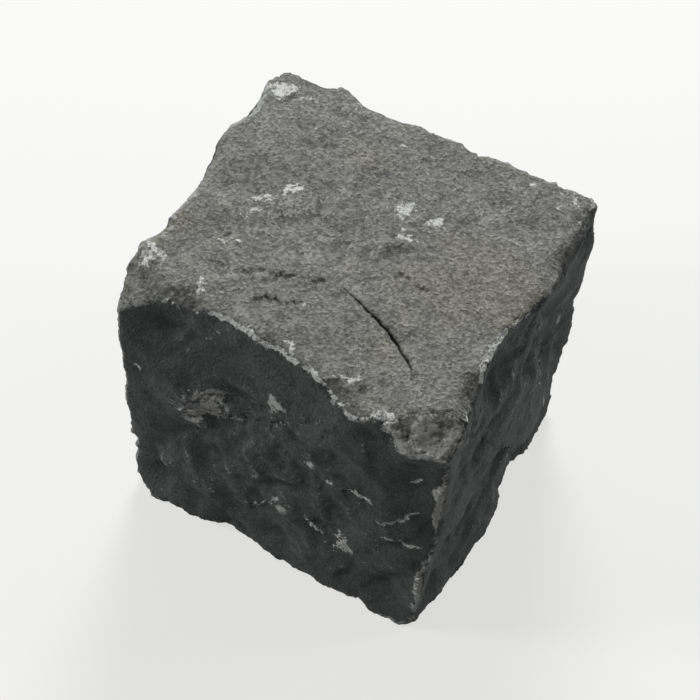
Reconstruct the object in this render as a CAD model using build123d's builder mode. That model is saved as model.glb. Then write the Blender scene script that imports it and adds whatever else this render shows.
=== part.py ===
"""Basalt cobblestone: one hand-split paving sett, nominally 100 x 100 x 90 mm.

The stone is one piece of rock. It is made here in the order a mason makes it: a block is riven to
a tapering outline, its wearing face is left as the rock parted, flakes spall off the faces and the
corners, and small chips break out of the arrises.

Frame: +Z up, front face towards -Y, origin at the middle of the stone's plan, on its bed.
"""

import os
from itertools import cycle
from typing import NamedTuple

from build123d import *

# Driving dimensions, in millimetres
LENGTH = 106.0  # across the left and right joint faces, X
WIDTH = 104.0  # across the front and back joint faces, Y
HEIGHT = 88.0  # from the bed to the wearing face, Z

# How far each corner of the riven outline stands in from the LENGTH x WIDTH rectangle, as (x, y)
HEAD_INSETS = {
    "front_left": (4.5, 5.0),
    "front_right": (1.5, 5.0),
    "back_right": (6.0, 1.0),
    "back_left": (1.0, 1.0),
}
BED_INSETS = {
    "front_left": (9.0, 5.0),
    "front_right": (3.5, 6.0),
    "back_right": (7.0, 3.0),
    "back_left": (5.0, 5.0),
}

# How far each side of the outline bows out between its corners, in the order front, right, back, left
HEAD_BOWS = (3.0, 1.5, -1.5, 3.5)
BED_BOWS = (0.5, 3.5, 1.0, 1.5)

# The wearing face: a cleft surface that swells and dips about its mean level
CLEFT_NET = 6  # control points along each side of the surface
CLEFT_SWELL = 1.6  # height of the swell in the middle
CLEFT_WAVE = 2.2  # height of the waves across it
CLEFT_STOCK = 12.0  # stock above the wearing face that parts off along it

# Chips along the arrises, taken in turn
CHIP_SPACING = 17.0
CHIPPED_ARRIS = 32.0  # shortest arris that is chipped
CHIP_RADII = (14.0, 32.0, 20.0, 48.0, 11.0)
CHIP_DEPTHS = (1.5, 1.0, 1.9, 0.8)


class Scar(NamedTuple):
    """A flake scar: a shallow bowl where a flake left the block."""

    at: tuple  # place on the block: -1 to 1 across X, -1 to 1 across Y, 0 to 1 up Z
    facing: tuple  # the way the hollow faces
    radius: float  # radius of the bowl
    depth: float  # how deep it bites


SCARS = {
    # Front face
    "front_spall": Scar((-0.30, -0.92, 0.90), (0, -1, 0.12), 115, 5.5),
    "front_right_flake": Scar((0.80, -0.92, 0.55), (0.35, -1, 0.05), 130, 2.6),
    "front_left_flake": Scar((-0.75, -0.92, 0.25), (-0.25, -1, -0.1), 120, 2.2),
    "front_foot": Scar((0.25, -0.92, 0.0), (0, -1, -0.8), 45, 1.8),
    # Right face
    "right_spall": Scar((1.0, -0.23, 0.91), (1, 0, 0.2), 70, 5.5),
    "right_flake": Scar((0.97, 0.55, 0.55), (1, 0.15, 0), 110, 3.0),
    "right_foot": Scar((0.97, 0.30, 0.05), (1, 0, -0.3), 30, 4.0),
    # Back face
    "back_spall": Scar((-0.22, 0.98, 0.91), (0, 1, 0), 200, 3.5),
    "back_flake": Scar((-0.55, 0.95, 0.40), (-0.1, 1, 0), 90, 3.5),
    "back_foot": Scar((0.40, 0.96, 0.28), (0.1, 1, -0.2), 70, 5.0),
    # Left face
    "left_spall": Scar((-1.03, -0.30, 0.85), (-1, 0, 0.1), 75, 6.0),
    "left_notch": Scar((-1.0, 0.54, 1.0), (-1, 0, 0.5), 18, 2.5),
    "left_flake": Scar((-0.95, 0.62, 0.55), (-1, 0.1, 0), 85, 3.0),
    "left_foot": Scar((-0.93, -0.05, 0.20), (-1, 0, -0.1), 60, 4.5),
    # Corners
    "front_right_corner": Scar((1.0, -0.90, 1.0), (0.36, -0.50, 0.78), 60, 8.0),
    "front_left_corner": Scar((-0.90, -0.90, 1.0), (-0.40, -0.47, 0.79), 60, 8.0),
    "back_left_corner": Scar((-0.99, 0.98, 1.0), (-0.5, 0.6, 0.5), 40, 3.5),
    "back_right_corner": Scar((0.89, 0.99, 1.0), (0.6, 0.5, 0.4), 30, 2.0),
    "front_right_foot": Scar((0.94, -0.89, 0.0), (0.65, -0.45, -0.6), 45, 3.0),
    "front_left_foot": Scar((-0.83, -0.90, 0.0), (-0.6, -0.4, -0.6), 40, 3.5),
    "back_left_foot": Scar((-0.90, 0.90, 0.0), (-0.6, 0.5, -0.7), 50, 4.5),
    "back_right_foot": Scar((0.87, 0.94, 0.0), (0.5, 0.6, -0.6), 45, 4.0),
}


def outline_corners(insets):
    """The outline's corners in turn from front left, anticlockwise seen from above."""
    half = {"left": -LENGTH / 2, "right": LENGTH / 2, "front": -WIDTH / 2, "back": WIDTH / 2}
    corners = []
    for name, (inset_x, inset_y) in insets.items():
        y_side, x_side = name.split("_")
        x, y = half[x_side], half[y_side]
        corners.append((x - inset_x if x > 0 else x + inset_x, y - inset_y if y > 0 else y + inset_y))
    return corners


def draw_bowed_outline(insets, bows):
    """Four bowed sides from corner to corner, drawn in the open BuildLine."""
    corners = outline_corners(insets)
    for start, end, bow in zip(corners, corners[1:] + corners[:1], bows):
        SagittaArc(start, end, -bow)


def cleft_surface():
    """The surface that the wearing face parted along, wider than the stone."""
    rows = []
    for i in range(CLEFT_NET):
        u = 2 * i / (CLEFT_NET - 1) - 1
        row = []
        for j in range(CLEFT_NET):
            v = 2 * j / (CLEFT_NET - 1) - 1
            swell = CLEFT_SWELL * (1 - u * u) * (1 - v * v)
            wave = CLEFT_WAVE * ((i * 2 + j * 3) % 5 / 4 - 0.5)
            row.append((u * LENGTH, v * WIDTH, HEIGHT + swell + wave))
        rows.append(row)
    return Face.make_bezier_surface(rows)


def strike_flake(at, facing, radius, depth):
    """Break a flake off the stone in the open BuildPart, leaving a bowl that bites to a depth."""
    with Locations(Vector(at) + Vector(facing).normalized() * (radius - depth)):
        Sphere(radius, mode=Mode.SUBTRACT)


with BuildPart() as cobblestone:
    # Riven block, tapering from its head down to its bed
    with BuildSketch():
        with BuildLine():
            draw_bowed_outline(BED_INSETS, BED_BOWS)
        make_face()
    with BuildSketch(Plane.XY.offset(HEIGHT + CLEFT_STOCK)):
        with BuildLine():
            draw_bowed_outline(HEAD_INSETS, HEAD_BOWS)
        make_face()
    loft()

    # Wearing face
    split(bisect_by=cleft_surface(), keep=Keep.BOTTOM)

    # Flake scars
    for scar in SCARS.values():
        x, y, z = scar.at
        strike_flake((x * LENGTH / 2, y * WIDTH / 2, z * HEIGHT), scar.facing, scar.radius, scar.depth)

    # Chips along the arrises of the wearing face and the bed, struck from the middle outwards
    middle = Vector(0, 0, HEIGHT / 2)
    stone_faces = cobblestone.faces().sort_by(Axis.Z)
    radii, depths = cycle(CHIP_RADII), cycle(CHIP_DEPTHS)
    for face in (stone_faces[-1], stone_faces[0]):
        for arris in face.edges().filter_by(lambda edge: edge.length > CHIPPED_ARRIS):
            count = int(arris.length / CHIP_SPACING)
            for n in range(count):
                bite = arris @ ((n + 0.5) / count)
                strike_flake(bite, bite - middle, next(radii), next(depths))

# The origin goes to the middle of the plan
plan = cobblestone.part.bounding_box().center()
cobblestone.part.locate(Location((-plan.X, -plan.Y, 0)))

cobblestone.part.label = "cobblestone"
os.makedirs("parts", exist_ok=True)
export_step(cobblestone.part, "parts/cobblestone.step")
print("origin moved to", plan.X, plan.Y, "of the block")
print(cobblestone.part.bounding_box(), cobblestone.part.volume, "mm3")
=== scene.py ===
# %% [markdown]
# # A riven basalt cobblestone
#
# The real thing is one lump of rock, split by hand to about 100 x 100 x 90 mm. The frame below is
# its CAD model: the right size, with the main flake scars, but smooth between them. This lesson
# gives it the skin of split basalt. It takes a copy of the CAD stone, turns it into an even net of
# small faces, breaks that net the way rock breaks, and then mixes one stone material for it.

import math
from typing import NamedTuple

import bmesh
import bpy
from mathutils import Matrix, Vector, kdtree, noise
from mathutils.bvhtree import BVHTree


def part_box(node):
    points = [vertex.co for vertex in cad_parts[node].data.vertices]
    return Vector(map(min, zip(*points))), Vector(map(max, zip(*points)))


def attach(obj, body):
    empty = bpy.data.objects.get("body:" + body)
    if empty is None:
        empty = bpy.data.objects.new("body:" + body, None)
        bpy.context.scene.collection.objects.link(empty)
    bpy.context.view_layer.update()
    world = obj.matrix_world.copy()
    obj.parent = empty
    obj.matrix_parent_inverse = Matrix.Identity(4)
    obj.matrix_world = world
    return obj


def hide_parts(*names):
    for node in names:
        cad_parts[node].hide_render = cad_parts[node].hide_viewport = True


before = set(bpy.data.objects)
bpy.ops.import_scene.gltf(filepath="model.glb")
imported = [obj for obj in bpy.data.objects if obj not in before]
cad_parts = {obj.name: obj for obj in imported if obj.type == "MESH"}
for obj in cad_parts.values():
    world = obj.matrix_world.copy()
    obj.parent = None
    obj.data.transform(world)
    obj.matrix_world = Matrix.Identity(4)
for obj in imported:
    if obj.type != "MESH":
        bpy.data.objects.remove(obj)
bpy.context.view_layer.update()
MM = 0.001
low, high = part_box("cobblestone")
print("CAD stone, mm:", [round(side / MM, 1) for side in high - low])

# %% [markdown]
# ## A closed copy
#
# The CAD mesh arrives as loose triangles. Merging the points that lie on each other closes it, so
# that each edge knows its two faces. An edge where those faces turn away from each other sharply is
# an arris, the line that two broken faces meet in. Rock crumbles there first, so the script keeps a
# tree of points along the arrises, to ask later how near a place is to one. A second tree holds only
# the keen ones, which bound the stone's faces, and not the low ridges between flake scars. A third holds
# only those as sharp as the corner of a block, and not the edges of a chip.

# %% Merge the copy and find its arrises
MERGE = 0.005 * MM
RIDGE_TURN, KEEN_TURN, SHARP_TURN = math.radians(22), math.radians(45), math.radians(54)
SAMPLE_STEP = 0.5 * MM


def point_tree(points):
    """A tree that finds the nearest of some points."""
    tree = kdtree.KDTree(len(points))
    for number, point in enumerate(points):
        tree.insert(point, number)
    tree.balance()
    return tree


block = bmesh.new()
block.from_mesh(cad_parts["cobblestone"].data)
bmesh.ops.remove_doubles(block, verts=block.verts, dist=MERGE)


def arris_tree(least_turn):
    """A tree of points along the edges of the block that turn outwards by more than an angle."""
    points = []
    for edge in block.edges:
        if edge.is_manifold and edge.calc_face_angle_signed() > least_turn:
            start, end = (vert.co for vert in edge.verts)
            steps = max(1, round(edge.calc_length() / SAMPLE_STEP))
            points += [start.lerp(end, step / steps) for step in range(steps)]
    print("arrises over", round(math.degrees(least_turn)), "degrees:", len(points), "points")
    return point_tree(points)


arrises, keen_arrises, sharp_arrises = (arris_tree(turn) for turn in (RIDGE_TURN, KEEN_TURN, SHARP_TURN))
print("merged copy:", len(block.verts), "points")

# %% [markdown]
# ## An even skin
#
# Relief needs points to move, everywhere and evenly spaced, and CAD triangles are long slivers. The
# Remesh modifier in Voxel mode lays a cubic lattice through the closed copy and draws a new net of
# near-square faces where its surface runs. It also dulls each arris by about one voxel, as on stone.

# %% Remesh the copy
VOXEL = 1.0 * MM

closed = bpy.data.meshes.new("closed_copy")
block.to_mesh(closed)
worked = bpy.data.objects.new("worked", closed)
bpy.context.scene.collection.objects.link(worked)
remesh = worked.modifiers.new("even_skin", "REMESH")
remesh.mode = "VOXEL"
remesh.voxel_size = VOXEL
ready = worked.evaluated_get(bpy.context.evaluated_depsgraph_get())
skin = bmesh.new()
skin.from_mesh(ready.data)
bpy.data.objects.remove(worked)
print("even skin:", len(skin.verts), "points,", len(skin.faces), "faces")

# %% [markdown]
# ## Fine lines
#
# The wearing face has one curved crack and a few ragged creases, where a sheet of rock let go and
# stopped. The joint faces have hairlines, where the blow that split the block sent cracks along it, and
# some stretches of the arrises are crushed to a pale line. Each is a curve from a start to an end, drawn
# towards a bend between them and dropped onto the skin. A tree of points along them tells for any place
# which line is nearest, how far off it is and on which side.

# %% Draw the fine lines


class FineLine(NamedTuple):
    """A line on the skin, in millimetres."""

    start: tuple
    bend: tuple
    end: tuple
    half_width: float  # of its groove
    depth: float  # of its groove
    step: float  # how much lower the rock on its right lies
    stray: float  # how far it wanders off the curve
    tone: float  # about 1 where it is crushed pale, -1 where its groove is painted dark with shade


FINE_LINES = [
    # Wearing face: the crack and the creases
    # A negative tone paints shade into the groove of the crack and of the creases
    FineLine((2.3, -16.7, 88), (25, -22, 88), (35.6, -34.2, 88), 0.65, 2.0, 0.35, 0.45, -1.0),
    FineLine((-26, -10, 88), (-26, 2, 88), (-12, 8, 88), 0.35, 0.3, 0.9, 3.0, -0.4),
    FineLine((-33, -27, 88), (-20, -26, 88), (1, -16, 88), 0.35, 0.3, 0.9, 3.0, -0.4),
    FineLine((-20, -33, 88), (-10, -30, 88), (-1, -27, 88), 0.3, 0.3, 0.7, 2.6, -0.3),
    FineLine((14, -4, 88), (26, -8, 88), (40, -6, 88), 0.3, 0.2, 0.6, 2.6, -0.3),
    # Front face: hairlines and the edge of the spall
    FineLine((25, -50, 48.8), (30, -50, 52), (35.5, -50, 47.3), 0.9, 0.2, 0.3, 1.2, 1.0),
    FineLine((35.2, -50, 43.5), (42, -50, 48.5), (48.5, -50, 53), 1.0, 0.2, 0.3, 1.0, 1.2),
    FineLine((37, -50, 38.7), (42, -50, 38.5), (50, -50, 39.9), 0.9, 0.2, 0.3, 1.0, 1.2),
    FineLine((44.5, -50, 63.7), (46.5, -50, 65), (48.5, -50, 66.2), 0.8, 0.2, 0.2, 0.6, 1.1),
    FineLine((14, -50, 29.8), (15.8, -50, 21.5), (21, -50, 22.2), 0.8, 0.2, 0.4, 0.8, 1.0),
    FineLine((23.5, -50, 24.5), (25.5, -50, 24.2), (27.5, -50, 22.5), 0.9, 0.2, 0.2, 0.6, 1.0),
    FineLine((-5.8, -50, 15.2), (0, -50, 21), (5, -50, 29.3), 0.8, 0.2, 0.3, 1.4, 0.9),
    FineLine((19.8, -50, 80), (2, -50, 52), (-45.6, -50, 46.4), 0.5, 0.2, 0.8, 1.4, 0.3),
    # Crushed stretches of the front right, top right and top front arrises. Their places lie off the
    # stone, so that they drop onto its corner
    FineLine((54, -52, 68), (54, -52, 58), (54, -52, 46), 1.8, 0.1, 0.0, 1.0, 1.3),
    FineLine((54, -52, 41), (54, -52, 24), (54, -52, 4), 1.4, 0.1, 0.0, 1.0, 1.2),
    FineLine((60, -42, 96), (60, -22, 96), (60, 6, 96), 1.4, 0.1, 0.0, 0.8, 1.3),
    FineLine((-34, -58, 96), (-8, -58, 96), (38, -58, 96), 1.2, 0.1, 0.0, 0.8, 1.1),
    # Right, back and left faces
    FineLine((50, 29.7, 25.4), (50, 29.6, 20), (50, 29.1, 15.6), 0.8, 0.2, 0.2, 0.6, 0.9),
    FineLine((50, 14.1, 16.5), (50, 12, 15.2), (50, 9.8, 14.4), 0.7, 0.2, 0.2, 0.5, 0.8),
    FineLine((50, 42.3, 50.2), (50, 40.2, 46), (50, 37.3, 41.2), 0.7, 0.2, 0.2, 0.5, 0.7),
    FineLine((50, -20, 60), (50, 2, 24), (50, 36, 6), 0.5, 0.2, 0.6, 1.4, 0.4),
    FineLine((50, 12, 44), (50, 22, 34), (50, 38, 44), 0.5, 0.2, 0.3, 0.8, 0.7),
    FineLine((30, 50, 62), (8, 50, 50), (-14, 50, 60), 0.5, 0.2, 0.5, 1.2, 0.5),
    FineLine((-8, 50, 30), (-22, 50, 24), (-40, 50, 34), 0.5, 0.2, 0.3, 0.8, 0.7),
    FineLine((-50, 30, 26), (-50, 10, 40), (-50, -24, 34), 0.5, 0.2, 0.5, 1.2, 0.5),
]

surface = BVHTree.FromBMesh(skin)


def on_skin(place):
    """The point of the skin nearest to a place in millimetres."""
    return surface.find_nearest(Vector(place) * MM)[0]


line_samples = []
for line in FINE_LINES:
    steps = round((Vector(line.end) - Vector(line.start)).length * MM / SAMPLE_STEP)
    for step in range(steps + 1):
        share = step / steps
        first, last = (Vector(a).lerp(b, share) for a, b in ((line.start, line.bend), (line.bend, line.end)))
        line_samples.append((line, share, (last - first).normalized(), on_skin(first.lerp(last, share))))
lines = point_tree([seat for line, share, heading, seat in line_samples])
print("fine lines:", len(FINE_LINES), "with", len(line_samples), "sample points")

# %% [markdown]
# ## A finer net where it matters
#
# A groove less than a millimetre wide needs smaller faces than a smooth hollow does, and so does a
# crumbling arris. Dividing the whole net would make it heavy, so only the edges near a line or an
# arris are divided with `subdivide_edges`.

# %% Divide the net
LINE_REACH, LINE_CUTS = 1.5 * MM, 2
ARRIS_REACH, ARRIS_CUTS = 1.2 * MM, 1


def divide_near(tree, reach, cuts):
    """Divide the edges of the skin whose two points lie within reach of a tree's points."""
    near = {vert for vert in skin.verts if tree.find(vert.co)[2] < reach}
    edges = [edge for edge in skin.edges if near.issuperset(edge.verts)]
    bmesh.ops.subdivide_edges(skin, edges=edges, cuts=cuts, use_grid_fill=True)
    print("divided", len(edges), "edges, now", len(skin.verts), "points")


divide_near(lines, LINE_REACH, LINE_CUTS)
divide_near(arrises, ARRIS_REACH, ARRIS_CUTS)

# %% [markdown]
# ## Patterns of breaking
#
# Every layer of relief is a depth in millimetres, cut inwards from the CAD surface, so the stone never
# outgrows its CAD size. Blender's noise module gives the patterns. Voronoi noise knows the nearest
# of a field of scattered points: a bowl round each one, the deepest winning, is a field of flake
# scars with sharp ridges between them, and a tilted plane round each one is a hackly break with small
# cliffs. Fractal noise adds the rough grain. The vector noise that bends the patterns starts from a
# seed, so that each run breaks the same stone.

# %% Bowls, facets and grit
CELL_SEED, TILT_SEED = 7.7, 3.1  # turn the middle of a cell into its own depth and its own tilt
GRIT_FALL, GRIT_GAP, GRIT_OCTAVES = 0.6, 2.1, 3  # fade of finer lumps, step between sizes, and their number
BEND_SEED = 1

noise.seed_set(BEND_SEED)


def smooth_step(value, start, end):
    """0 before start and 1 after end, eased between them. Start may be the larger."""
    share = min(1.0, max(0.0, (value - start) / (end - start)))
    return share * share * (3 - 2 * share)


def warped(place, size, reach):
    """A place pushed about by smooth noise, so that a pattern drawn there loses its regular look."""
    return place + noise.noise_vector(place / size) * reach


def to_unit(value):
    """A noise value, which lies between -1 and 1, brought to between 0 and 1."""
    return 0.5 + 0.5 * value


def flake_bowls(place, spread, depth):
    """Depth of the deepest flake bowl over a place, for bowls about spread apart."""
    deepest = 0.0
    for distance, centre in zip(*noise.voronoi(place / spread)):
        bite = to_unit(noise.noise(centre * CELL_SEED))
        deepest = max(deepest, bite - distance * distance)
    return depth * deepest


def facets(place, spread, depth):
    """Depth of a hackly break: flat facets about spread across, each tilted and set off its own way."""
    scaled = place / spread
    centre = noise.voronoi(scaled)[1][0]
    tilt = noise.noise_vector(centre * TILT_SEED)
    return depth * (to_unit(noise.noise(centre * CELL_SEED)) + tilt.dot(scaled - centre))


def grit(place, size, depth):
    """Fractal roughness between 0 and about depth, with its largest lumps of a size."""
    return depth * to_unit(noise.fractal(place / size, GRIT_FALL, GRIT_GAP, GRIT_OCTAVES))


TEST_PLACES, TEST_SPREAD, TEST_DEPTH = 100, 10.0, 1.0
TEST_LINE = [Vector((step, 0, 0)) for step in range(TEST_PLACES)]  # 1 mm apart

for pattern in (flake_bowls, facets, grit):
    depths = [pattern(place, TEST_SPREAD, TEST_DEPTH) for place in TEST_LINE]
    print(pattern.__name__, TEST_DEPTH, "mm deep:", round(min(depths), 2), "to", round(max(depths), 2), "mm")

# %% [markdown]
# ## How each face broke
#
# The two kinds of face differ in how they parted. The wearing face and the bed split along the layers of
# the lava, so they are flat and granular. The joint faces broke across them, in flake scars with hackly
# areas between calm ones. One function cuts both, from a table of the sizes that each kind has.

# %% Kinds of face


class Break(NamedTuple):
    """How a kind of face broke, in millimetres."""

    bends: tuple  # size and reach of each noise that bends its pattern
    bowls: tuple  # spread and depth of its flake bowls
    facets: tuple  # spread and depth of each size of its facets
    grit: tuple  # size and depth of its roughness
    calm: float  # share of the facets and the grit that its calm areas keep


FLAT_FACE = Break(((10, 4), (3, 1)), (24, 0.9), ((16, 1.2), (7, 0.8), (2.8, 0.25)), (3.0, 0.5), 0.6)
JOINT_FACE = Break(((14, 4), (4, 1)), (27, 2.4), ((19, 3.2), (8, 2.3), (3.2, 0.9)), (3.0, 0.6), 0.3)
CALM_SIZE, CALM_FROM, CALM_TO = 31.0, -0.15, 0.15  # mm, and the noise values of calm and hackly areas
CALM_SHIFT = Vector((3.4, 3.9, 2.1))  # brings a calm area to the upper left of the front face


def face_relief(place, kind):
    """Depth of the relief of a kind of face at a place."""
    bent = place
    for size, reach in kind.bends:
        bent = warped(bent, size, reach)
    hackly = smooth_step(noise.noise(place / CALM_SIZE + CALM_SHIFT), CALM_FROM, CALM_TO)
    hackle = sum(facets(bent, *sizes) for sizes in kind.facets) + grit(place, *kind.grit)
    return max(0.0, flake_bowls(bent, *kind.bowls) + (kind.calm + (1 - kind.calm) * hackly) * hackle)


for name, kind in (("flat", FLAT_FACE), ("joint", JOINT_FACE)):
    depths = [face_relief(place, kind) for place in TEST_LINE]
    print(name, "face:", round(min(depths), 2), "to", round(max(depths), 2), "mm deep along a line")

# %% [markdown]
# ## How the arrises broke
#
# An arris is knocked in handling. Here and there a chip has left it, and all along it small crumbs have
# gone. Both fade out away from the arris, and the chips come only on some stretches of it.

# %% Chips and crumbs
CHIP_BEND, CHIP_SPREAD, CHIP_DEPTH, CHIP_REACH = (4.0, 1.5), 8.0, 2.4, 4.5  # mm
CHIP_STRETCH, STRETCH_FROM, STRETCH_TO = 12.0, 0.0, 0.4  # mm, and the noise values of whole and chipped ones
CRUMB_SIZE, CRUMB_DEPTH, CRUMB_REACH = 2.6, 0.7, 1.8  # mm
FULL_GAP = 0.3  # mm from an arris within which both are full


def arris_relief(place, gap):
    """Depth of the chips and the crumbs out of an arris that is a gap away."""
    stretch = smooth_step(noise.noise(place / CHIP_STRETCH), STRETCH_FROM, STRETCH_TO)
    chips = flake_bowls(warped(place, *CHIP_BEND), CHIP_SPREAD, CHIP_DEPTH)
    crumbs = max(0.0, grit(place, CRUMB_SIZE, CRUMB_DEPTH))
    return (stretch * smooth_step(gap, CHIP_REACH, FULL_GAP) * chips
            + smooth_step(gap, CRUMB_REACH, FULL_GAP) * crumbs)


print("chips about", CHIP_SPREAD, "mm apart, crumbs about", CRUMB_SIZE, "mm across")

# %% [markdown]
# ## Breaking the skin
#
# Moving each point straight into its own face would fold the skin over at an arris, where the two faces
# cut into each other. So each point goes in along its own ray to the middle of the stone: rays don't
# cross, so the net can't fold. A ray that slants through its face has further to go to the same depth.
#
# A copy of the net, smoothed with `smooth_vert` until its arrises are round, tells which kind of face a
# point belongs to. A joint face is cut less deep towards its keen arrises, so it doesn't hang over them.
# For the colours, the loop also notes how much of the wearing face, of a fine line and of a sharp arris
# each point has.

# %% Cut the relief
SOFTEN_ROUNDS, SOFTEN_PULL = 100, 0.5  # how often a point is smoothed, and how far it goes each time
WORN_FROM, WORN_TO = 0.5, 0.85  # how far up a wearing face looks
FLARE = 9.0  # mm from a keen arris at which a joint face has its full depth
EDGE_REACH, EDGE_CORE = 1.3, 0.4  # mm from a sharp arris where its crushed edge ends and is full
WANDER = ((5.0, 0.8), (1.8, 0.6), (0.8, 0.4))  # size and share of each bend of a fine line
LIP, STEP_EDGE, STEP_RUN = 0.05, 0.25, 8.0  # of a fine line, in mm
TINT_CORE = 0.25  # of a fine line's half width, where its tone is full
RAGGED_SIZE, RAGGED_FROM, RAGGED_TO = 6.0, -0.3, 0.2  # where a step is there and where it is gone


def softened(net, rounds):
    """A copy of a net, smoothed a number of times."""
    soft = net.copy()
    for _ in range(rounds):
        bmesh.ops.smooth_vert(
            soft, verts=soft.verts, factor=SOFTEN_PULL, use_axis_x=True, use_axis_y=True, use_axis_z=True
        )
    soft.normal_update()
    return soft


def line_near(place, normal):
    """How much of the nearest fine line's tone, groove and low side a place has, and the line."""
    seat, number, gap = lines.find(place * MM)
    line, share, heading, _ = line_samples[number]
    side = heading.cross(normal).dot(place - seat / MM)
    wander = sum(part * noise.noise(place / size) for size, part in WANDER)
    across = math.copysign(gap / MM, side) + line.stray * wander
    fade = math.sqrt(max(0.0, math.sin(math.pi * share)))
    half_width = line.half_width * fade + LIP
    tint = fade * smooth_step(abs(across), half_width, TINT_CORE * half_width)
    groove = fade * smooth_step(abs(across), half_width, 0.0)
    ragged = smooth_step(noise.noise(place / RAGGED_SIZE), RAGGED_FROM, RAGGED_TO)
    low_side = smooth_step(across, -STEP_EDGE, STEP_EDGE) * math.exp(-abs(across) / STEP_RUN)
    return tint, groove, ragged * fade * low_side, line


middle = (low + high) / 2
soft = softened(skin, SOFTEN_ROUNDS)
skin.normal_update()
wearing_share, line_tone_and_shade, edge_share, cuts = [], [], [], []
for vert, soft_vert in zip(skin.verts, soft.verts):
    place = vert.co / MM
    gap, keen_gap, sharp_gap = (
        tree.find(vert.co)[2] / MM for tree in (arrises, keen_arrises, sharp_arrises)
    )
    joint = smooth_step(abs(soft_vert.normal.z), WORN_TO, WORN_FROM) * smooth_step(keen_gap, 0.0, FLARE)
    depth = face_relief(place, FLAT_FACE) * (1 - joint) + face_relief(place, JOINT_FACE) * joint
    tint, groove, low_side, line = line_near(place, soft_vert.normal)
    depth += line.depth * groove + line.step * low_side
    ray = (vert.co - middle).normalized()
    cut = depth / max(abs(part) for part in ray) + arris_relief(place, gap)
    vert.co -= ray * cut * MM
    cuts.append(cut)
    wearing_share.append(smooth_step(vert.normal.z, WORN_FROM, WORN_TO))
    line_tone_and_shade.append(line.tone * tint)
    edge_share.append(smooth_step(sharp_gap, EDGE_REACH, EDGE_CORE))
skin.normal_update()
print("cut", len(cuts), "points by", round(min(cuts), 2), "to", round(max(cuts), 2), "mm")

# %% [markdown]
# ## Splinters and the bed
#
# Where two cuts nearly meet they can leave a splinter of rock too thin to last. A point that stands far
# out of a lightly smoothed copy is the tip of one, so it goes back to where that copy has it. The bed has
# lost a little everywhere too, so the stone is then set down on its level again with `translate`.

# %% Break off the splinters and set the stone down
SPLINTER_PASSES, SPLINTER_ROUNDS = 3, 4
SPLINTER = 0.3 * MM

for _ in range(SPLINTER_PASSES):
    lasting = softened(skin, SPLINTER_ROUNDS)
    splinters = 0
    for vert, lasting_vert in zip(skin.verts, lasting.verts):
        if (vert.co - lasting_vert.co).length > SPLINTER:
            vert.co = lasting_vert.co
            splinters += 1
    print("broke off", splinters, "splinters")

drop = low.z - min(vert.co.z for vert in skin.verts)
bmesh.ops.translate(skin, verts=skin.verts, vec=(0.0, 0.0, drop))
skin.normal_update()
print("set down by", round(-drop / MM, 2), "mm")

# %% [markdown]
# ## Marks on the stone
#
# Some of the stone's colour follows its history, so the script writes numbers at each point of the
# mesh, as attributes that the material reads. *bruise* is 1 where a hammer or another stone has struck
# and left white powder. *scuff* is 1 where one has rubbed along and left a grey bloom.

# %% Bruises and scuffs
SPOT_EDGE, SPOT_CORE = 2.0, 0.2  # where a mark fades to nothing and where it is full, of its reach
SPOT_BENDS = ((9.0, 5.0), (3.0, 2.0))  # size and reach in mm of the noises that bend a mark's outline
BRUISES = [
    # Place on the stone and reach, in mm: wearing face
    (-44, 35.6, 88, 2.6), (-35.5, 36.3, 88, 1.8), (-25, 6.3, 88, 2.4), (-30.6, 0, 88, 2.4),
    (-27.8, -6.8, 88, 1.8), (-31.3, -19.4, 88, 2.4), (-27.2, -17.1, 88, 2.6), (-44.8, -31.9, 87, 3.0),
    (6.8, 16.5, 88, 3.0), (13.4, 17.3, 88, 2.4), (9.3, 9.4, 88, 2.4), (40.8, 43.4, 88, 2.8),
    (38, 39.5, 88, 1.8), (26.1, 47, 88, 1.6), (-5.4, 34.8, 88, 1.2), (-29.3, -36.4, 88, 1.8),
    (19.3, -43.9, 88, 2.0), (4.9, -44.6, 87, 2.0), (34.8, -47, 86, 3.0), (0.9, -25.7, 88, 1.5),
    (-26.8, 44.1, 88, 1.2), (46, -38, 85, 2.6), (43, -44, 82, 2.8), (48, -42, 79, 2.4),
    (38.5, -47, 83, 2.2), (41, -48, 81, 2.6), (45.5, -46, 79, 2.6),
    # Joint faces
    (-39, -50, 56.4, 1.4), (-13, -50, 75.8, 1.4), (14, -50, 50, 2.4), (19, -50, 48, 2.0),
    (-19.5, -50, 20, 1.0), (29.5, -50, 44, 1.6), (24, -50, 27, 3.2), (50, -22, 60, 1.6), (12, 50, 66, 1.2),
    (-26, 50, 44, 1.1), (-50, 18, 62, 1.2), (-50, -20, 48, 1.1),
]
SCUFFS = [
    # Place on the stone and reach, in mm: front face
    (-21, -50, 50, 5.0), (-15, -50, 58, 4.0), (-20, -50, 45.5, 3.0), (1.5, -50, 66, 3.6),
    (2.3, -50, 62, 2.6), (-45, -50, 38, 1.6), (5, -50, 31, 2.0), (26, -50, 24, 2.0),
    # Front right corner
    (47, -44, 82, 4.5), (42, -46, 84, 4.5), (44.5, -45, 83, 6.0), (38, -48, 84, 4.0),
    # Right, back and left faces
    (50, 6, 25, 2.6), (50, -30, 70, 2.4), (50, 24, 64, 1.6),
    (20, 50, 52, 2.0), (30, 50, 30, 1.3), (-34, 50, 66, 1.5),
    (-50, 20, 50, 1.8), (-50, 32, 30, 1.3), (-50, -30, 66, 1.4),
]

surface = BVHTree.FromBMesh(skin)  # so that on_skin finds the broken skin


def spot_shares(spots):
    """How much of the nearest of some spots each point of the skin has, from 0 to 1."""
    centres = point_tree([on_skin(place) for *place, reach in spots])
    shares = []
    for vert in skin.verts:
        bent = vert.co / MM
        for size, reach in SPOT_BENDS:
            bent = warped(bent, size, reach)
        _, number, gap = centres.find(bent * MM)
        reach = spots[number][-1] * MM
        shares.append(smooth_step(gap, SPOT_EDGE * reach, SPOT_CORE * reach))
    return shares


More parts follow.
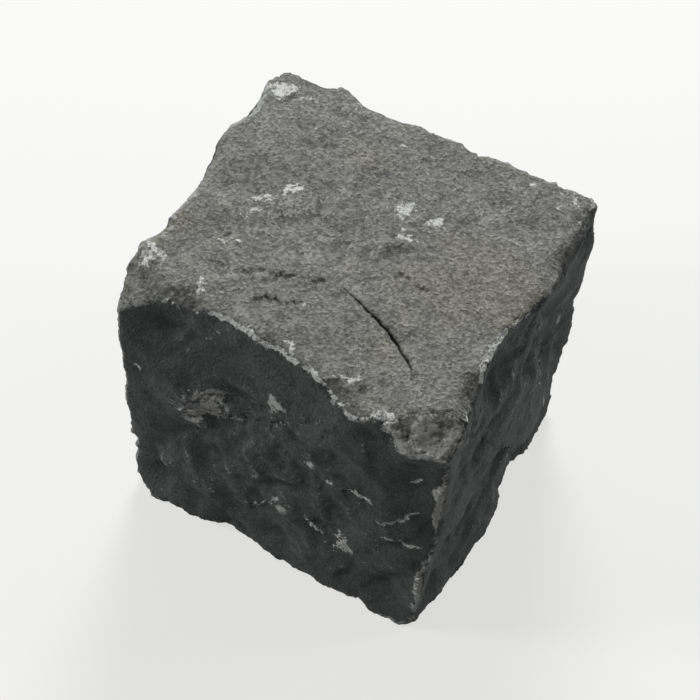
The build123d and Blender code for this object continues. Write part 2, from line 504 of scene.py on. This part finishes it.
bruise, rubbing = spot_shares(BRUISES), spot_shares(SCUFFS)
print("marks:", len(BRUISES), "bruises and", len(SCUFFS), "scuffs")

# %% [markdown]
# ## Hollows and edges
#
# Other colour follows the shape. A hollow is darkened with painted shade, and a sharp ridge is crushed pale.
# How far a point stands out of a smoothed copy of the skin tells both. *proud* is that in millimetres, and
# hollows are negative. *edge* is about 1 along the crest of an arris where it has been knocked, which some
# stretches have been more than others, and a share of the sharpest ridges on the faces is added to it. A
# scuff only touches what stands out, so it keeps clear of the hollows.

# %% Measure the hollows and edges
HOLLOW_ROUNDS = 10
KNOCK_MEAN, KNOCKS = 0.75, ((11.0, 0.9), (2.5, 0.8))  # size in mm and share of an arris's knocks
CREST_FROM, CREST_TO = -0.15, 0.10  # mm that an arris stands out where it stays whole and is crushed
RIDGE_SHARE = 1.3  # of the edge that each mm of a ridge gives
SCUFF_FROM, SCUFF_TO = -0.35, 0.05  # mm that a place stands out where a scuff misses it and touches it

smoothed = softened(skin, HOLLOW_ROUNDS)
proud, edge, scuff = [], [], []
for vert, smooth_vert, sharp, rub in zip(skin.verts, smoothed.verts, edge_share, rubbing):
    out = (vert.co - smooth_vert.co).dot(vert.normal) / MM
    knock = KNOCK_MEAN + sum(share * noise.noise(vert.co / MM / size) for size, share in KNOCKS)
    proud.append(out)
    crest = smooth_step(out, CREST_FROM, CREST_TO)
    edge.append(sharp * knock * crest + RIDGE_SHARE * max(0.0, out))
    scuff.append(rub * smooth_step(out, SCUFF_FROM, SCUFF_TO))
print("hollows to", round(min(proud), 2), "mm, ridges to", round(max(proud), 2), "mm")

# %% [markdown]
# ## A map for the texture
#
# A texture that is baked for other programs needs a map of the skin. Blender can unwrap one, but on
# broken rock that falls into thousands of scraps. Projecting each face along the axis that the softened
# skin looks along gives just six sheets, like a box cut open.

# %% Unfold the skin into six sheets
AXES, WAYS = 3, 2  # a column of sheets for each axis and a row for each way along it
SHEET_MARGIN = 2.0 * MM

sheet_map = skin.loops.layers.uv.new("OFBake")
soft.verts.ensure_lookup_table()
sheet_faces = {}
for face in skin.faces:
    facing = sum((soft.verts[vert.index].normal for vert in face.verts), Vector())
    axis = max(range(AXES), key=lambda number: abs(facing[number]))
    row = 1 if facing[axis] > 0 else 0
    sheet_faces[axis, row] = sheet_faces.get((axis, row), 0) + 1
    for loop in face.loops:
        u, v = (
            (loop.vert.co[other] - low[other] + SHEET_MARGIN) / (high[other] - low[other] + 2 * SHEET_MARGIN)
            for other in range(AXES) if other != axis
        )
        loop[sheet_map].uv = (axis + u) / AXES, (row + v) / WAYS
print("sheets, faces in each:", list(sheet_faces.values()))

# %% [markdown]
# ## The finished stone
#
# The net becomes a mesh object at the origin, with its marks as attributes. It takes the place of the plain
# CAD stone, which is hidden, and hangs from the root body.

# %% Make the stone
MARKS = {
    "wearing": wearing_share, "line": line_tone_and_shade, "bruise": bruise, "scuff": scuff,
    "proud": proud, "edge": edge,
}

stone_mesh = bpy.data.meshes.new("cobblestone_skin")
skin.to_mesh(stone_mesh)
stone_mesh.shade_smooth()
for name, values in MARKS.items():
    stone_mesh.attributes.new(name, "FLOAT", "POINT").data.foreach_set("value", values)
    print(name, "from", round(min(values), 2), "to", round(max(values), 2))

stone = bpy.data.objects.new("riven_cobblestone", stone_mesh)
bpy.context.scene.collection.objects.link(stone)
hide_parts("cobblestone")
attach(stone, "root")
stone_mesh.calc_loop_triangles()
print("stone:", len(stone_mesh.vertices), "points,", len(stone_mesh.loop_triangles), "triangles")

# %% [markdown]
# ## Tools for the materials
#
# Colours are written as sRGB hex, as a paint chart gives them, and Blender's shaders want linear light,
# so one function converts. A pattern's Scale is features per metre, so another turns a real size in
# millimetres into that. A third adds a node, sets its properties and feeds its inputs, each by a plain
# value or by another node's output.

# %% Helpers


def linear(hex_colour):
    """A linear RGBA colour from sRGB hex."""
    channels = [int(hex_colour[i:i + 2], 16) / 255 for i in (1, 3, 5)]
    return [c / 12.92 if c <= 0.04045 else ((c + 0.055) / 1.055) ** 2.4 for c in channels] + [1.0]


def per_metre(size):
    """The pattern scale that gives features of a size in millimetres."""
    return 1 / (size * MM)


def add_node(tree, kind, output, inputs=None, **settings):
    """Add a node with its settings, and its inputs by name or number. Returns the named output."""
    made = tree.nodes.new(kind)
    for name, value in settings.items():
        setattr(made, name, value)
    named = {socket.name: socket for socket in made.inputs if socket.enabled}
    for key, value in (inputs or {}).items():
        socket = made.inputs[key] if isinstance(key, int) else named[key]
        if isinstance(value, bpy.types.NodeSocket):
            tree.links.new(value, socket)
        else:
            socket.default_value = value
    return next((socket for socket in made.outputs if socket.enabled and socket.name == output), None)


def empty_tree(owner):
    """The node tree of a material or a world, with nothing in it yet."""
    owner.use_nodes = True
    owner.node_tree.nodes.clear()
    return owner.node_tree


print("mid grey #808080 is", round(linear("#808080")[0], 3), "in linear light")

# %% [markdown]
# ## Riven basalt
#
# Basalt is a dark, fine-grained lava. A fresh break is charcoal grey, with crystals under a millimetre
# that give it a dull glitter. The wearing face is rubbed, drier and dusty, and it is paler partly for that
# and partly by painted light, while the joint faces are painted darker as if in shade. Struck places,
# hairlines and arrises are crushed to a pale powder, and painted shade darkens the hollows, the creases and
# the crack.
#
# All of it is one material. Noise patterns at real sizes give the grain and the mottling, and the
# attributes of the mesh say where each layer of colour goes.

# %% Patterns of the rock
PATTERNS = {
    # Size in mm, detail and roughness of each noise
    "grain": (0.9, 4.0, 0.7),
    "blotch": (1.3, 5.0, 0.68),
    "mottle": (9.0, 4.0, 0.62),
    "patch": (34.0, 2.0, 0.5),
}
CRYSTAL_MM = 0.8  # most crystals are finer, and are drawn this coarse to show

# Basalt as the hammer left it: a dark, matt, gritty grey with a faint sparkle and pale crushed edges
basalt = bpy.data.materials.new("Basalt, riven by hand")
tree = empty_tree(basalt)
place = add_node(tree, "ShaderNodeTexCoord", "Object")
patterns = {
    name: add_node(tree, "ShaderNodeTexNoise", "Fac", {
        "Vector": place, "Scale": per_metre(size), "Detail": detail, "Roughness": roughness,
    })
    for name, (size, detail, roughness) in PATTERNS.items()
}
crystal = add_node(tree, "ShaderNodeTexVoronoi", "Color", {"Vector": place, "Scale": per_metre(CRYSTAL_MM)})
patterns |= {"crystal": crystal, "facet": crystal.node.outputs["Distance"]}
print("patterns:", ", ".join(patterns))

# %% [markdown]
# ## Masks
#
# A mask says how much of a layer shows at a place, from 0 to 1. Each is read from an attribute or a
# pattern, broken up by some of a noise so that it frays like powder, and stretched between two values.

# %% Masks
MASKS = {
    # What is read, how much of which noise breaks it up, and the values that give 0 and 1
    # The worn mask follows the faces that look up: it marks real wear, and also paints them paler and the
    # rest darker, as light from above would
    "wear_and_top_light": ("wearing", 0.3, "blotch", 0.35, 0.85),
    "weathered": ("patch", 0.2, "blotch", 0.58, 0.78),
    # Painted shade in the hollows
    "hollow_shade": ("proud", 0.0, "blotch", -0.02, -0.30),
    "specked": ("crystal", 1.5, "mottle", 1.82, 1.94),
    "scuffed": ("scuff", 2.0, "blotch", 1.36, 1.74),
    "crushed": ("edge", 2.0, "blotch", 1.42, 1.75),
    "hairline": ("line", 2.0, "blotch", 1.32, 1.60),
    "bruised": ("bruise", 3.0, "blotch", 2.06, 2.36),
    # Painted shade in the crack and the creases, where a line's tone is negative
    "crack_shade": ("line", 0.0, "blotch", -0.15, -0.75),
}

marks = {name: add_node(tree, "ShaderNodeAttribute", "Fac", attribute_name=name) for name in MARKS}
sources = patterns | marks
masks = {}
for name, (source, share, breaker, none, full) in MASKS.items():
    value = add_node(tree, "ShaderNodeMath", "Value", {
        0: patterns[breaker], 1: share, 2: sources[source],
    }, operation="MULTIPLY_ADD")
    masks[name] = add_node(tree, "ShaderNodeMapRange", "Result", {
        "Value": value, "From Min": none, "From Max": full,
    })
print("masks:", ", ".join(masks))

# %% [markdown]
# ## Layers of colour
#
# The rock's colour comes first, fresh or worn, partly its own and partly painted light: the worn face is
# painted paler and the fresh faces darker, as light from above would leave them. Each pattern shades it in
# turn, by one amount on a fresh face and by another on a worn one. Then the layers lie on it: painted shade
# in the hollows, pale crystals, the bloom of scuffs, crushed edges and hairlines, fresh bruises, and painted
# shade in the crack and creases.

# %% Layers of colour
# The gap between the fresh and the worn colour is partly painted light: the worn one is painted paler and
# the fresh one darker, as if lit from above
FRESH_AND_SHADED, WORN_AND_LIT, WEATHERED = linear("#484a4a"), linear("#7d7e7a"), linear("#7b7a71")
SHADES = {
    # The darkest and the lightest value of each pattern, and how far it shades a fresh and a worn face
    "patch": (0.34, 0.66, 0.08, 0.07),
    "mottle": (0.34, 0.66, 0.30, 0.14),
    "grain": (0.34, 0.66, 0.28, 0.28),
    "crystal": (0.25, 0.75, 0.16, 0.28),
}
LAYERS = {
    # The most that shows of each layer, and its colour
    # Painted shade, darkening the hollows
    "hollow_shade": (0.5, linear("#242628")),
    "specked": (0.4, linear("#b0b2ae")),
    "scuffed": (0.85, linear("#babcb8")),
    "crushed": (0.7, linear("#acaeaa")),
    "hairline": (0.9, linear("#d6d8d4")),
    "bruised": (0.95, linear("#d2d3cf")),
    # Painted shade in the crack and the creases
    "crack_shade": (0.9, linear("#121313")),
}

weathered_and_lit = add_node(tree, "ShaderNodeMix", "Result", {
    "Factor": masks["weathered"], "A": WORN_AND_LIT, "B": WEATHERED,
}, data_type="RGBA")
colour = add_node(tree, "ShaderNodeMix", "Result", {
    "Factor": masks["wear_and_top_light"], "A": FRESH_AND_SHADED, "B": weathered_and_lit,
}, data_type="RGBA")
for name, (darkest, lightest, fresh_swing, worn_swing) in SHADES.items():
    lift = add_node(tree, "ShaderNodeMapRange", "Result", {
        "Value": patterns[name], "From Min": darkest, "From Max": lightest, "To Min": -1.0,
    })
    swing = add_node(tree, "ShaderNodeMapRange", "Result", {
        "Value": masks["wear_and_top_light"], "To Min": fresh_swing, "To Max": worn_swing,
    })
    shade = add_node(tree, "ShaderNodeMath", "Value", {0: lift, 1: swing, 2: 1.0}, operation="MULTIPLY_ADD")
    colour = add_node(tree, "ShaderNodeVectorMath", "Vector", {0: colour, "Scale": shade}, operation="SCALE")
for name, (most, tone) in LAYERS.items():
    share = add_node(tree, "ShaderNodeMath", "Value", {0: masks[name], 1: most}, operation="MULTIPLY")
    colour = add_node(tree, "ShaderNodeMix", "Result", {
        "Factor": share, "A": colour, "B": tone,
    }, data_type="RGBA")
print("layers over the rock:", ", ".join(LAYERS))

# %% [markdown]
# ## Finish of the surface
#
# A fresh break is a little satiny and the rubbed face is dusty, so the roughness follows the wear. The
# grain and the crystals are too fine to cut into the net, so two Bump nodes tilt the light for them. A worn
# face has lost its softer grains, so its bumps are higher.

# %% Finish of the surface
BUMPS = {"grain": (0.5, 0.7), "facet": (0.18, 0.25)}  # height in mm on a fresh and on a worn face
SATIN, DUSTY = 0.66, 0.9
BASALT_IOR = 1.55
BROKEN_SHINE = 0.15  # a broken face scatters most of its shine

normal = None
for name, (fresh_height, worn_height) in BUMPS.items():
    height = add_node(tree, "ShaderNodeMapRange", "Result", {
        "Value": masks["wear_and_top_light"], "To Min": fresh_height * MM, "To Max": worn_height * MM,
    })
    inputs = {"Height": patterns[name], "Strength": 1.0, "Distance": height}
    normal = add_node(tree, "ShaderNodeBump", "Normal", inputs | ({"Normal": normal} if normal else {}))
roughness = add_node(tree, "ShaderNodeMapRange", "Result", {
    "Value": masks["wear_and_top_light"], "To Min": SATIN, "To Max": DUSTY,
})
shader = add_node(tree, "ShaderNodeBsdfPrincipled", "BSDF", {
    "Base Color": colour, "Roughness": roughness, "Normal": normal,
    "IOR": BASALT_IOR, "Specular IOR Level": BROKEN_SHINE,
})
add_node(tree, "ShaderNodeOutputMaterial", None, {"Surface": shader})
stone_mesh.materials.append(basalt)
print("basalt:", len(tree.nodes), "nodes")

# %% [markdown]
# ## Floor
#
# The floor is a wide sheet of pale paper. White paper would throw light back up at the joint faces, so it
# is pale only to the camera and to reflections. Light Path tells which ray asks. A little glow for the
# same rays keeps it pale where the lamps don't reach, and the rest still takes the stone's shadow.

# %% Floor
FLOOR_HALF = 3.0  # m
FLOOR_SEEN, FLOOR_BOUNCE = linear("#dededd"), linear("#6b6b6b")
PAPER_WHITE, FLOOR_GLOW = linear("#fbfbfa"), 0.68


def seen_rays(tree):
    """1 for a ray from the camera, or one that a mirror or glass sends on, and 0 for the rest."""
    seen = add_node(tree, "ShaderNodeLightPath", "Is Camera Ray")
    for ray in ("Is Glossy Ray", "Is Transmission Ray"):
        light_path = add_node(tree, "ShaderNodeLightPath", ray)
        seen = add_node(tree, "ShaderNodeMath", "Value", {0: seen, 1: light_path}, operation="MAXIMUM")
    return seen


ground = bmesh.new()
bmesh.ops.create_grid(ground, x_segments=1, y_segments=1, size=FLOOR_HALF)
floor_mesh = bpy.data.meshes.new("floor")
ground.to_mesh(floor_mesh)
floor = bpy.data.objects.new("floor", floor_mesh)
bpy.context.scene.collection.objects.link(floor)

# Uncoated paper: an even, pale, matt ground
paper = bpy.data.materials.new("Paper floor, matt")
tree = empty_tree(paper)
seen = seen_rays(tree)
tone = add_node(tree, "ShaderNodeMix", "Result", {
    "Factor": seen, "A": FLOOR_BOUNCE, "B": FLOOR_SEEN,
}, data_type="RGBA")
matt = add_node(tree, "ShaderNodeBsdfDiffuse", "BSDF", {"Color": tone})
glow = add_node(tree, "ShaderNodeEmission", "Emission", {"Color": PAPER_WHITE})
share = add_node(tree, "ShaderNodeMath", "Value", {0: seen, 1: FLOOR_GLOW}, operation="MULTIPLY")
shader = add_node(tree, "ShaderNodeMixShader", "Shader", {0: share, 1: matt, 2: glow})
add_node(tree, "ShaderNodeOutputMaterial", None, {"Surface": shader})
floor_mesh.materials.append(paper)
print("floor:", 2 * FLOOR_HALF, "m square, with", len(tree.nodes), "nodes in its paper")

# %% [markdown]
# ## Light
#
# The light is soft, from above and a little behind, so that the wearing face is bright and the joint
# faces stay dark, and it rakes across the wearing face and shows its grain. A weaker lamp from the left
# front picks out the facets of the front face, and a weak one from the right, behind, the far arrises. The
# world is white to the camera and dim to the stone.

# %% Light
SKY_COLOUR, SKY_STRENGTH = linear("#ffffff"), 0.11
LAMPS = {
    # Place in metres, size in metres and power in watts
    "key": ((-0.30, 0.62, 0.66), 0.35, 7.6),
    "fill": ((-0.75, -0.48, 0.55), 0.30, 5.2),
    "rim": ((0.50, 0.45, 0.62), 0.30, 1.6),
}

world = bpy.data.worlds.new("studio")
bpy.context.scene.world = world
tree = empty_tree(world)
strength = add_node(tree, "ShaderNodeMapRange", "Result", {
    "Value": seen_rays(tree), "To Min": SKY_STRENGTH, "To Max": 1.0,
})
sky = add_node(tree, "ShaderNodeBackground", "Background", {"Color": SKY_COLOUR, "Strength": strength})
add_node(tree, "ShaderNodeOutputWorld", None, {"Surface": sky})

for name, (place, size, power) in LAMPS.items():
    lamp = bpy.data.lights.new(name, "AREA")
    lamp.shape, lamp.size, lamp.energy = "DISK", size, power
    holder = bpy.data.objects.new(name, lamp)
    bpy.context.scene.collection.objects.link(holder)
    holder.location = place
    holder.rotation_euler = (middle - holder.location).to_track_quat("-Z", "Y").to_euler()
    print(name, "lamp", round((middle - holder.location).length, 2), "m from the stone")

# %% [markdown]
# ## Camera
#
# The camera looks down on the near corner of the stone through a long lens, and leans a little, as a
# camera held in the hand does.

# %% Camera
CAMERA_PLACE = Vector((162.9, -344.7, 513.3)) * MM
AIM = Vector((0.0, 0.0, 42.0)) * MM
LEAN = math.radians(5.9)
VIEW_ANGLE = math.radians(18.0)

lens = bpy.data.cameras.new("camera")
lens.sensor_fit = "HORIZONTAL"
lens.angle = VIEW_ANGLE
camera = bpy.data.objects.new("camera", lens)
bpy.context.scene.collection.objects.link(camera)
camera.location = CAMERA_PLACE
camera.rotation_mode = "QUATERNION"
turn = (AIM - CAMERA_PLACE).to_track_quat("-Z", "Y")
camera.rotation_quaternion = turn @ Matrix.Rotation(LEAN, 4, "Z").to_quaternion()
bpy.context.scene.camera = camera
print("camera", round((AIM - CAMERA_PLACE).length, 2), "m from the stone, lens", round(lens.lens), "mm")

# %% [markdown]
# ## Finish
#
# The Standard view shows each colour as it is written. The stone must not have outgrown its CAD model.

# %% Finish
bpy.context.scene.view_settings.view_transform = "Standard"
